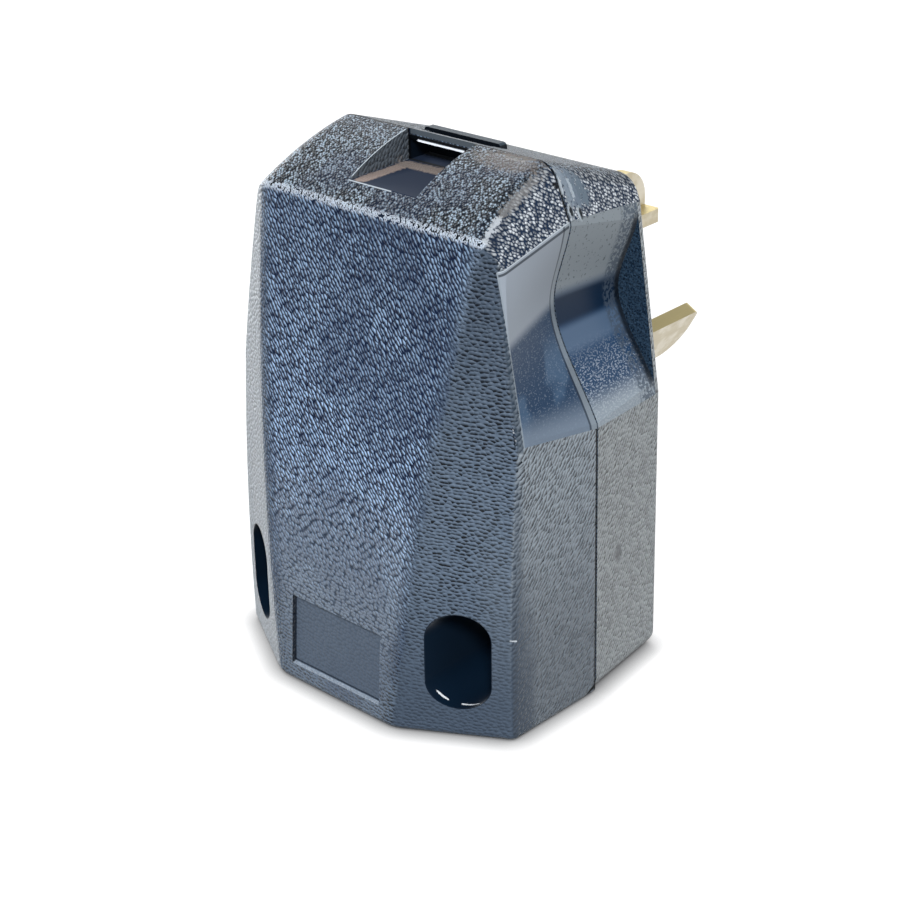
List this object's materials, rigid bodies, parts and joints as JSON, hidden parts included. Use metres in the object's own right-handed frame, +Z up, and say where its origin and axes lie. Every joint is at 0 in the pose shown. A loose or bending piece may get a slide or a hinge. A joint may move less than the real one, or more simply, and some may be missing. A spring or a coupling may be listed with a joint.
{
  "type": "angled plug",
  "caption": "Angled mains plug in two moulded black halves with finger scoops, screw wells, flat blades at the back and a cord inlet in its foot.",
  "frame": {"origin": "middle of the flat mating face that the blades stand out of", "axes": "+Y out of the mating face along the blades, +Z up and away from the cord inlet, +X to the right seen from the front cover"},
  "size_m": [0.052, 0.0625, 0.0743],
  "materials": {
    "cover_plastic": "fine leather grain, worn pale along its ridge",
    "housing_plastic": "fine leather grain, smooth in the finger scoops",
    "blade_brass": "pale satin brass",
    "clamp_steel": "zinc plated",
    "screw_steel": "zinc plated",
    "plate_steel": "zinc plated",
    "nut_steel": "zinc plated"
  },
  "bodies": {
    "root": {"front_cover": "cover_plastic", "rear_housing": "housing_plastic", "neutral_blade": "blade_brass", "line_blade_left": "blade_brass", "line_blade_right": "blade_brass", "cord_clamp_front": "clamp_steel", "cord_clamp_rear": "clamp_steel", "neutral_terminal_screw": "screw_steel", "neutral_pressure_plate": "plate_steel", "line_left_terminal_screw": "screw_steel", "line_left_pressure_plate": "plate_steel", "line_right_terminal_screw": "screw_steel", "line_right_pressure_plate": "plate_steel", "cover_screw_left": "screw_steel", "cord_clamp_screw_left": "screw_steel", "cover_nut_left": "nut_steel", "cover_screw_right": "screw_steel", "cord_clamp_screw_right": "screw_steel", "cover_nut_right": "nut_steel"}
  },
  "joints": []
}
